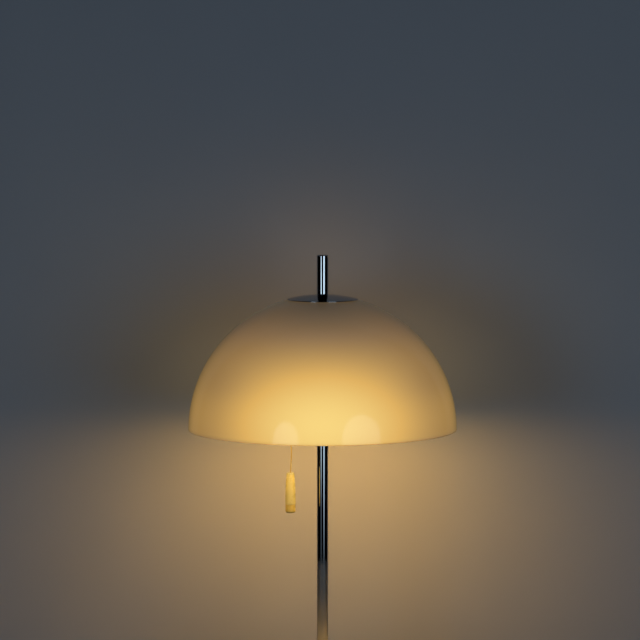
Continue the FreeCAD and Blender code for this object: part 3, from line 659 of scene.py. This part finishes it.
@dataclass
class Assembly:
    """A sub-assembly of the lamp.

    Attributes:
        outfit: rows of a finish and the solids that wear it.
    """

    outfit: Outfit

    def dress(self, wardrobe: Wardrobe) -> None:
        """Give each solid its finish."""
        for row in self.outfit:
            wardrobe.dress(*row)


class Winding:
    """A wire wound round an axis, made with Geometry Nodes: threads, a spring and the turns of a knot.

    Attributes:
        SIZES: the tree's named sizes, in order.
        TURN_STEPS: divisions of one turn.
        WIRE_STEPS: divisions round the wire.
    """

    SIZES = ("Turns", "Radius", "Height", "Wire Radius")
    TURN_STEPS = 28
    WIRE_STEPS = 10

    def __init__(self, wardrobe: Wardrobe) -> None:
        """Build the tree with its named inputs.

        Args:
            wardrobe: the finishes.
        """
        self.wardrobe = wardrobe
        self.tree = bpy.data.node_groups.new("winding", "GeometryNodeTree")
        face = self.tree.interface
        self.sockets = {}
        for name in self.SIZES:
            self.sockets[name] = face.new_socket(name=name, in_out="INPUT", socket_type="NodeSocketFloat")
        self.sockets["Material"] = face.new_socket(name="Material", in_out="INPUT",
                                                   socket_type="NodeSocketMaterial")
        face.new_socket(name="Geometry", in_out="OUTPUT", socket_type="NodeSocketGeometry")
        nodes = Nodes(self.tree)
        sizes = nodes.add("NodeGroupInput").outputs
        turns = {"Resolution": self.TURN_STEPS, "Rotations": sizes["Turns"], "Height": sizes["Height"],
                 "Start Radius": sizes["Radius"], "End Radius": sizes["Radius"]}
        spiral = nodes.add("GeometryNodeCurveSpiral", turns).outputs["Curve"]
        round_wire = {"Resolution": self.WIRE_STEPS, "Radius": sizes["Wire Radius"]}
        section = nodes.add("GeometryNodeCurvePrimitiveCircle", round_wire).outputs["Curve"]
        swept = {"Curve": spiral, "Profile Curve": section, "Fill Caps": True}
        wire = nodes.add("GeometryNodeCurveToMesh", swept).outputs["Mesh"]
        real = nodes.add("GeometryNodeRealizeInstances", {"Geometry": wire}).outputs["Geometry"]
        dressed = {"Geometry": real, "Material": sizes["Material"]}
        result = nodes.add("GeometryNodeSetMaterial", dressed).outputs["Geometry"]
        nodes.add("NodeGroupOutput", {"Geometry": result})

    def mesh(self, turns: float, radius: float, height: float, wire: float, finish: Finishes) -> Mesh:
        """Wind a wire along +Z from the origin.

        Args:
            turns: number of turns.
            radius: radius of the turns at the wire's middle.
            height: climb of all turns together.
            wire: radius of the wire.
            finish: what it wears.

        Returns:
            A plain mesh.
        """
        item = linked("winding_form", bpy.data.meshes.new("winding_form"))
        modifier = item.modifiers.new("winding", "NODES")
        modifier.node_group = self.tree
        for name, value in zip(self.SIZES, (turns, radius, height, wire)):
            modifier[self.sockets[name].identifier] = value
        modifier[self.sockets["Material"].identifier] = self.wardrobe.material(finish)
        mesh = plain_mesh(item)
        item.modifiers.clear()
        bpy.data.objects.remove(item)
        return mesh


def smoothed(mesh: Mesh) -> Mesh:
    """Let all faces of a mesh shade smoothly."""
    mesh.polygons.foreach_set("use_smooth", [True] * len(mesh.polygons))
    return mesh


def plain_mesh(item: Item) -> Mesh:
    """Read an object's evaluated shape as a plain mesh with smooth faces.

    Args:
        item: a linked object, with its modifiers or its curve.

    Returns:
        The mesh.
    """
    bpy.context.view_layer.update()
    shape = item.evaluated_get(bpy.context.evaluated_depsgraph_get())
    return smoothed(bpy.data.meshes.new_from_object(shape))


def joined(name: str, meshes: list[Mesh]) -> Mesh:
    """Put several meshes into one.

    Args:
        name: name of the new mesh.
        meshes: what goes in; these meshes are removed.

    Returns:
        The mesh.
    """
    form = bmesh.new()
    for mesh in meshes:
        form.from_mesh(mesh)
        bpy.data.meshes.remove(mesh)
    whole = bpy.data.meshes.new(name)
    form.to_mesh(whole)
    form.free()
    return whole


def on_ring(radius: float, step: int, steps: int, height: float) -> Point:
    """Point of a ring round the Z axis."""
    angle = math.tau * step / steps
    return (radius * math.cos(angle), radius * math.sin(angle), height)


def lathe(name: str, profile: list[Span], steps: int, wobble: float) -> Mesh:
    """Turn a profile about the Z axis into a closed form.

    Args:
        name: name of the mesh.
        profile: radius and height of each point; the first and last lie on the axis.
        steps: divisions round the axis.
        wobble: most that a rim point strays sideways, in metres.

    Returns:
        The mesh, with its faces pointing outwards.
    """
    stray = random.Random(FRAY_SEED)
    drift = [stray.uniform(-wobble, wobble) for _ in range(steps)]
    form = bmesh.new()
    rings = []
    for radius, height in profile:
        if radius == 0.0:
            points = [(0.0, 0.0, height)]
        else:
            points = [on_ring(radius + drift[step], step, steps, height) for step in range(steps)]
        rings.append([form.verts.new(point) for point in points])
    for low, high in zip(rings, rings[1:]):
        for step in range(steps):
            after = (step + 1) % steps
            corners = [low[step % len(low)], low[after % len(low)],
                       high[after % len(high)], high[step % len(high)]]
            form.faces.new(list(dict.fromkeys(corners)))
    bmesh.ops.recalc_face_normals(form, faces=form.faces)
    mesh = bpy.data.meshes.new(name)
    form.to_mesh(mesh)
    form.free()
    return smoothed(mesh)


@dataclass
class Base(Assembly):
    """Weighted base: chromed cover, iron weight, felt pad, tie and inlet bush.

    Attributes:
        pad_round: rounding of the pad's edge.
        pad_bevel: share of that rounding that is left at its middle.
        pad_inner: share of the pad's radius where a ring parts its underside.
        pad_steps: divisions round the pad.
        fray: how far the felt's cut edge strays.
    """

    outfit: Outfit = (
        (Finishes.SPUN_CHROME, "base_cover"),
        (Finishes.IRON, "base_weight"),
        (Finishes.STEEL, "base_washer", "base_nut", "base_rod"),
        (Finishes.BAKELITE, "cord_bush"),
    )
    pad_round: float = 0.0007
    pad_bevel: float = 0.3
    pad_inner: float = 0.5
    pad_steps: int = 180
    fray: float = 0.00018

    def build(self, wardrobe: Wardrobe) -> None:
        """Make the felt pad and dress the solids.

        Args:
            wardrobe: the finishes.
        """
        mesh = lathe("felt_pad", self.pad_profile(), self.pad_steps, self.fray)
        pad = wardrobe.piece("felt_pad", mesh, Finishes.FELT, Body.LAMP, "felt")
        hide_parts("base_pad")
        self.dress(wardrobe)

    def pad_profile(self) -> list[Span]:
        """Half section of the felt pad, from the middle of its underside to the middle of its top.

        Returns:
            Radius and height of each point.
        """
        low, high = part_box("base_pad")
        radius = high.x - self.fray
        soft = self.pad_round
        bevel = soft * self.pad_bevel
        return [
            (0.0, low.z),
            (radius * self.pad_inner, low.z),
            (radius - soft, low.z),
            (radius - bevel, low.z + bevel),
            (radius, low.z + soft),
            (radius, (low.z + high.z) / 2),
            (radius, high.z - soft),
            (radius - soft, high.z),
            (0.0, high.z),
        ]


@dataclass
class Stem(Assembly):
    """Chromed stem with its collar and inserts."""

    outfit: Outfit = (
        (Finishes.CHROME, "stem_tube", "stem_collar"),
        (Finishes.STEEL, "stem_lower_insert", "stem_upper_insert"),
    )


@dataclass
class Cluster(Assembly):
    """Hub with three lampholders and their lit bulbs.

    Attributes:
        axis_height: height of the lampholders' axes.
        thread_start: where a holder's outer thread starts, from the stem's axis.
        thread_length: length of that thread.
        thread_pitch: climb of one turn.
        thread_radius: radius at the middle of its ridge.
        ridge: radius of its ridge.
        ball_reach: middle of a bulb, from the stem's axis.
        ball_radius: radius of the light inside a bulb.
        power: light of one bulb in watts.
        warm: colour of the light.
        mouth_height: height of the light that the shade's inside throws down.
        mouth_radius: radius of that light.
        mouth_power: its power in watts.
        back_place: middle of the light that the shade's crown throws on what is behind it.
        back_way: the way that it shines.
        back_radius: radius of that light.
        back_power: its power in watts.
        back_spread: angle that it fans out by, in degrees.
    """

    outfit: Outfit = (
        (Finishes.ENAMEL, "hub_body", "hub_lid"),
        (Finishes.CREAM, "terminal_block"),
        (Finishes.STEEL, "hub_nut", "holder_nipples", "holder_lock_nuts"),
        (Finishes.BRASS, "holder_contacts", *Side.pieces("holder_sleeve", "bulb_cap")),
        (Finishes.BAKELITE, *Side.pieces("holder_cap", "holder_shell")),
        (Finishes.CERAMIC, *Side.pieces("holder_insert")),
        (Finishes.BULB, *Side.pieces("bulb_glass")),
    )
    axis_height: float = 0.343
    thread_start: float = 0.0582
    thread_length: float = 0.0185
    thread_pitch: float = 0.0025
    thread_radius: float = 0.0128
    ridge: float = 0.0006
    ball_reach: float = 0.1115
    ball_radius: float = 0.030
    power: float = 0.34
    warm: Colour = (1.0, 0.55, 0.12)
    mouth_height: float = 0.331
    mouth_radius: float = 0.162
    mouth_power: float = 0.51
    back_place: Point = (0.0, 0.05, 0.535)
    back_way: Point = (0.0, 1.0, -0.1)
    back_radius: float = 0.02
    back_power: float = 0.0082
    back_spread: float = 120.0

    def build(self, wardrobe: Wardrobe, winding: Winding) -> None:
        """Make the holders' threads and the light, and dress the solids.

        Args:
            wardrobe: the finishes.
            winding: maker of the threads.
        """
        finish = Finishes.BAKELITE
        turns = self.thread_length / self.thread_pitch
        for side in Side:
            mesh = winding.mesh(turns, self.thread_radius, self.thread_length, self.ridge, finish)
            mesh.transform(self.outward(side, self.thread_start))
            wardrobe.piece(side.piece("holder_thread"), mesh, finish, Body.LAMP, "black_plastic")
            self.light(side)
        mouth = (0.0, 0.0, self.mouth_height)
        self.glow("mouth_light", mouth, DOWN, self.mouth_radius, self.mouth_power)
        back = self.glow("back_light", self.back_place, self.back_way, self.back_radius, self.back_power)
        back.spread = math.radians(self.back_spread)
        self.dress(wardrobe)

    def outward(self, side: Side, reach: float) -> Matrix:
        """Place that points +Z away from the stem along a holder's axis.

        Args:
            side: the holder's side.
            reach: distance from the stem's axis.

        Returns:
            The matrix.
        """
        turn = Matrix.Rotation(math.radians(side.value), 4, "Z") @ Matrix.Rotation(math.pi / 2, 4, "Y")
        lift = Matrix.Translation((0.0, 0.0, self.axis_height))
        return lift @ turn @ Matrix.Translation((0.0, 0.0, reach))

    def light(self, side: Side) -> None:
        """Put a bulb's light inside its glass.

        Args:
            side: the holder's side.
        """
        name = side.piece("bulb_light")
        data = bpy.data.lights.new(name, "POINT")
        data.energy = self.power
        data.color = self.warm
        data.shadow_soft_size = self.ball_radius
        linked(name, data).matrix_world = self.outward(side, self.ball_reach)
        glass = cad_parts[side.piece("bulb_glass")]
        glass.visible_shadow = False
        glass.visible_diffuse = False
        glass.visible_transmission = False

    def glow(self, name: str, place: Point, towards: Point, radius: float, power: float) -> bpy.types.Light:
        """Add a round light for what the opal shade scatters.

        Args:
            name: name of the light.
            place: its middle.
            towards: the way that it shines.
            radius: its radius.
            power: its power in watts.

        Returns:
            The light's data.
        """
        data = bpy.data.lights.new(name, "AREA")
        data.shape = "DISK"
        data.size = 2 * radius
        data.energy = power
        data.color = self.warm
        lamp = aimed(name, data, Vector(place), Vector(towards))
        lamp.visible_camera = False
        lamp.visible_glossy = False
        return data


@dataclass
class Switch(Assembly):
    """Pull switch: housing, cover, neck, plunger and spring.

    Attributes:
        spring_turns: turns of the spring.
        spring_radius: radius of those turns at the wire's middle.
        spring_wire: radius of its wire.
        pressed: share of the spring's length that is left when the plunger is pulled down; not used.
    """

    outfit: Outfit = (
        (Finishes.BAKELITE, "switch_housing", "switch_cover"),
        (Finishes.BRASS, "switch_neck", "switch_neck_nut", "pull_plunger"),
        (Finishes.STEEL, "switch_nipple", "switch_lock_nut"),
    )
    spring_turns: float = 5.0
    spring_radius: float = 0.0042
    spring_wire: float = 0.0005
    pressed: float = 0.36

    def build(self, wardrobe: Wardrobe, winding: Winding) -> None:
        """Make the spring and dress the solids.

        Args:
            wardrobe: the finishes.
            winding: maker of the spring.
        """
        low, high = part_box("pull_spring")
        eye_low, eye_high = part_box("pull_plunger")
        axis = (eye_low + eye_high) / 2
        climb = high.z - low.z - 2 * self.spring_wire
        mesh = winding.mesh(self.spring_turns, self.spring_radius, climb, self.spring_wire, Finishes.STEEL)
        mesh.transform(Matrix.Translation((axis.x, axis.y, low.z + self.spring_wire)))
        spring = wardrobe.piece("switch_spring", mesh, Finishes.STEEL, Body.LAMP, "steel")
        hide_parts("pull_spring")
        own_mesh(spring)
        self.dress(wardrobe)


@dataclass
class Pull(Assembly):
    """Pull cord with its loop and knots, and the ivory handle.

    Attributes:
        route: metres sideways from the pull's axis, and share of the way down.
        cord_radius: radius of the cord.
        cord_bevel: fineness of the cord's round section.
        cord_length: length of the cord between its knots; not used.
        loop_radius: half width of the loop.
        loop_foot: square of the share of that width that counts at the loop's foot.
        loop_points: points round the loop.
        knot_turns: turns of a knot.
        knot_radius: radius of those turns at the cord's middle.
        knot_pitch: climb of one turn, as a share of the cord's thickness.
    """

    outfit: Outfit = (
        (Finishes.IVORY, "pull_handle"),
        # The foot wears the ivory darkened as painted shade.
        (Finishes.SHADED_IVORY, "handle_foot"),
    )
    route: list[Span] = field(default_factory=lambda: [
        (0.0, 0.0), (0.0002, 0.05), (0.0008, 0.11), (0.0012, 0.19), (0.00125, 0.3), (0.00095, 0.46),
        (0.0005, 0.63), (0.0001, 0.8), (0.0, 0.9), (0.0, 1.0),
    ])
    cord_radius: float = 0.00075
    cord_bevel: int = 4
    cord_length: float = 0.0493
    loop_radius: float = 0.0026
    loop_foot: float = 0.25
    loop_points: int = 20
    knot_turns: float = 3.0
    knot_radius: float = 0.0012
    knot_pitch: float = 0.9

    def build(self, wardrobe: Wardrobe, winding: Winding) -> None:
        """Make the cord, its loop and its knots, and dress the handle.

        Args:
            wardrobe: the finishes.
            winding: maker of the knots' turns.
        """
        loop_low, loop_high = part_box("pull_loop")
        knot_low, knot_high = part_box("handle_knot")
        handle_low, handle_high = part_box("pull_handle")
        axis = (handle_low + handle_high) / 2
        cord = self.cord(wardrobe, axis, loop_low.z, knot_high.z)
        ring = self.loop(winding, axis, loop_low.z, loop_high.z)
        loop = wardrobe.piece("cord_loop", ring, Finishes.BRAID, Body.PULL, "cord")
        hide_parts("pull_loop")
        turns = self.knot(winding, axis, knot_low.z)
        knot = wardrobe.piece("cord_knot", turns, Finishes.BRAID, Body.PULL, "cord")
        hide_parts("handle_knot")
        self.dress(wardrobe)

    def line(self, name: str) -> bpy.types.Curve:
        """Start a line as thick as the cord.

        Args:
            name: name of the line.

        Returns:
            The curve, still without points.
        """
        data = bpy.data.curves.new(name, "CURVE")
        data.dimensions = "3D"
        data.bevel_depth = self.cord_radius
        data.bevel_resolution = self.cord_bevel
        return data

    def cord(self, wardrobe: Wardrobe, axis: Vector, top: float, end: float) -> Item:
        """Make the cord as one smooth line.

        Args:
            wardrobe: the finishes.
            axis: a point on the pull's axis.
            top: height where it leaves the loop's knot.
            end: height where it meets the knot in the handle.

        Returns:
            The cord.
        """
        data = self.line("pull_cord_line")
        data.use_fill_caps = True
        path = data.splines.new("NURBS")
        path.points.add(len(self.route) - 1)
        for point, (side, share) in zip(path.points, self.route):
            point.co = (axis.x + side, axis.y, top + (end - top) * share, 1.0)
        path.order_u = 3
        path.use_endpoint_u = True
        path.resolution_u = 12
        data.materials.append(wardrobe.material(Finishes.BRAID))
        item = linked("pull_cord_line", data)
        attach(item, Body.PULL.value)
        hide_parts("pull_cord")
        log.info("pull_cord_line made, on %s", Body.PULL.value)
        return item

    def loop(self, winding: Winding, axis: Vector, low: float, high: float) -> Mesh:
        """Make the loop through the plunger's eye, with the knot that closes it.

        Args:
            winding: maker of the knot's turns.
            axis: a point on the pull's axis.
            low: height of the knot's underside.
            high: height of the loop's top.

        Returns:
            The mesh.
        """
        data = self.line("loop_line")
        path = data.splines.new("BEZIER")
        path.bezier_points.add(self.loop_points - 1)
        path.use_cyclic_u = True
        top = high - self.cord_radius
        bottom = low + 2 * self.knot_radius
        for number, point in enumerate(path.bezier_points):
            angle = math.tau * number / self.loop_points
            rise = (1 - math.cos(angle)) / 2
            taper = math.sqrt(self.loop_foot + (1 - self.loop_foot) * rise)
            width = self.loop_radius * math.sin(angle) * taper
            point.co = (axis.x, axis.y + width, bottom + (top - bottom) * rise)
            point.handle_left_type = point.handle_right_type = "AUTO"
        item = linked("loop_line", data)
        ring = plain_mesh(item)
        bpy.data.objects.remove(item)
        return joined("cord_loop", [ring, self.knot(winding, axis, low)])

    def knot(self, winding: Winding, axis: Vector, low: float) -> Mesh:
        """Wind a knot round the cord.

        Args:
            winding: maker of the turns.
            axis: a point on the pull's axis.
            low: height of the knot's underside.

        Returns:
            The mesh.
        """
        climb = 2 * self.cord_radius * (self.knot_turns - 1) * self.knot_pitch
        turns = winding.mesh(self.knot_turns, self.knot_radius, climb, self.cord_radius, Finishes.BRAID)
        turns.transform(Matrix.Translation((axis.x, axis.y, low + self.cord_radius)))
        return turns


@dataclass
class Shade(Assembly):
    """Opal shade with its carrier, gaskets, cap disc, finial and tie."""

    outfit: Outfit = (
        (Finishes.OPAL, "shade"),
        (Finishes.SPUN_CHROME, "cap_disc"),
        (Finishes.CHROME, "finial", "centre_sleeve"),
        (Finishes.STEEL, "centre_rod", "shade_carrier"),
        (Finishes.RUBBER, "lower_gasket", "upper_gasket"),
    )


@dataclass(frozen=True)
class SoftLight:
    """An oval studio light that faces the stem.

    Attributes:
        name: name of the light.
        role: what it is for.
        azimuth: degrees to the right of the camera, seen from the lamp.
        away: distance from the stem.
        width: its width.
        heights: heights of its lower and upper end.
        power: its power in watts.
        colour: its colour.
        low: share of its brightness that is left at the lower end of a shine.
        dim: share of the way up to where a shine stays as dim as that.
        full: share of the way up from where a shine has all its brightness.
    """

    name: str
    role: Role
    azimuth: float
    away: float
    width: float
    heights: Span
    power: float
    colour: Colour = (0.66, 0.84, 1.0)
    low: float = 0.1
    dim: float = 0.0
    full: float = 0.55

    def build(self) -> None:
        """Set the light up."""
        data = bpy.data.lights.new(self.name, "AREA")
        data.shape = "ELLIPSE"
        data.size = self.width
        data.size_y = self.heights[1] - self.heights[0]
        data.energy = self.power
        data.color = self.colour
        if self.role is Role.SHINE:
            self.fade(data)
        angle = math.radians(self.azimuth)
        middle = Vector((0.0, 0.0, sum(self.heights) / 2))
        place = middle + self.away * Vector((math.sin(angle), -math.cos(angle), 0.0))
        lamp = aimed(self.name, data, place, middle - place)
        lamp.visible_camera = False
        lamp.visible_diffuse = self.role is Role.FILL
        lamp.visible_glossy = self.role is Role.SHINE
        log.info("%s stands by, it %s", self.name, self.role.value)

    def fade(self, data: bpy.types.Light) -> None:
        """Dim the light towards its lower end.

        Args:
            data: the light.
        """
        data.use_nodes = True
        nodes = Nodes(data.node_tree)
        place = nodes.split(nodes.add("ShaderNodeNewGeometry").outputs["Parametric"])
        strength = nodes.spread(place["Y"], (self.dim, self.full), (self.low, 1.0))
        nodes.fill(data.node_tree.nodes["Emission"].inputs["Strength"], strength)


@dataclass
class Studio:
    """Floor, backdrop, soft lights and camera.

    Attributes:
        floor_radius: radius of the pale floor.
        floor_steps: divisions round the floor.
        floor_tone: colour of the floor.
        wall_gap: distance of the backdrop behind the stem.
        wall_half: half width of the backdrop.
        wall_height: height of the backdrop.
        wall_tone: colour of the backdrop.
        sky: light of the dim room all round.
        lights: the soft lights.
        lens: focal length in millimetres.
        sensor: width of the picture in the camera, in millimetres.
        sight: how far the camera sees.
        distance: distance of the camera.
        elevation: camera's height above the horizon, in degrees.
        aim: what the camera looks at.
    """

    floor_radius: float = 0.95
    floor_steps: int = 96
    floor_tone: Colour = (0.66, 0.65, 0.63)
    wall_gap: float = 0.22
    wall_half: float = 0.45
    wall_height: float = 1.25
    wall_tone: Colour = (0.49, 0.515, 0.575)
    sky: Colour = (0.004, 0.006, 0.009)
    lights: tuple[SoftLight, ...] = (
        SoftLight("left_fill", Role.FILL, azimuth=-30.5, away=2.5, width=0.82, heights=(-0.05, 0.77),
                  power=4.2),
        SoftLight("right_fill", Role.FILL, azimuth=31.2, away=2.5, width=1.40, heights=(-0.34, 1.06),
                  power=5.3),
        SoftLight("left_shine", Role.SHINE, azimuth=-29.0, away=1.05, width=0.38, heights=(-0.03, 0.535),
                  power=0.86, dim=0.19, full=0.52),
        SoftLight("right_shine", Role.SHINE, azimuth=30.8, away=1.05, width=0.58, heights=(-0.03, 0.637),
                  power=1.40),
    )
    lens: float = 187.5
    sensor: float = 36.0
    sight: float = 50.0
    distance: float = 4.2
    elevation: float = 4.97
    aim: Point = (-0.0032, 0.0, 0.4588)

    def build(self) -> None:
        """Set everything up."""
        self.floor()
        self.wall()
        self.room()
        for light in self.lights:
            light.build()
        self.camera()

    def staged(self, name: str, corners: list[Point], tone: Colour) -> Item:
        """Add one flat face that isn't part of the lamp.

        Args:
            name: name of the object.
            corners: its corners, counter-clockwise seen from its front.
            tone: its colour.

        Returns:
            The object.
        """
        mesh = bpy.data.meshes.new(name)
        mesh.from_pydata(corners, [], [tuple(range(len(corners)))])
        mesh.materials.append(PaperFinish(f"{name}_paper", tone).material())
        item = linked(name, mesh)
        return item

    def floor(self) -> None:
        """Round pale floor under the lamp."""
        steps = self.floor_steps
        corners = [on_ring(self.floor_radius, step, steps, 0.0) for step in range(steps)]
        self.staged("floor", corners, self.floor_tone).visible_diffuse = False

    def wall(self) -> None:
        """Pale backdrop behind the lamp."""
        half, top, back = self.wall_half, self.wall_height, self.wall_gap
        corners = [(-half, back, 0.0), (half, back, 0.0), (half, back, top), (-half, back, top)]
        self.staged("backdrop", corners, self.wall_tone)

    def room(self) -> None:
        """Dim light from all round."""
        world = bpy.data.worlds.new("dim_room")
        world.use_nodes = True
        world.node_tree.nodes["Background"].inputs["Color"].default_value = (*self.sky, 1.0)
        bpy.context.scene.world = world
        world.cycles_visibility.glossy = False
        bpy.context.scene.view_settings.view_transform = "Standard"

    def camera(self) -> None:
        """Camera in front of the lamp, a little above its shade."""
        data = bpy.data.cameras.new("camera")
        data.lens = self.lens
        data.sensor_width = self.sensor
        data.clip_end = self.sight
        tilt = math.radians(self.elevation)
        back = Vector((0.0, -math.cos(tilt), math.sin(tilt)))
        place = Vector(self.aim) + back * self.distance
        bpy.context.scene.camera = aimed("camera", data, place, -back)


def main() -> None:
    """Build the stage, then each sub-assembly in order."""
    logging.basicConfig(level=logging.INFO, format="%(name)s: %(message)s")
    Studio().build()
    wardrobe = Wardrobe()
    winding = Winding(wardrobe)
    Pull().build(wardrobe, winding)
    Base().build(wardrobe)
    Stem().dress(wardrobe)
    Cluster().build(wardrobe, winding)
    Switch().build(wardrobe, winding)
    Shade().dress(wardrobe)


if __name__ == "__main__":
    main()
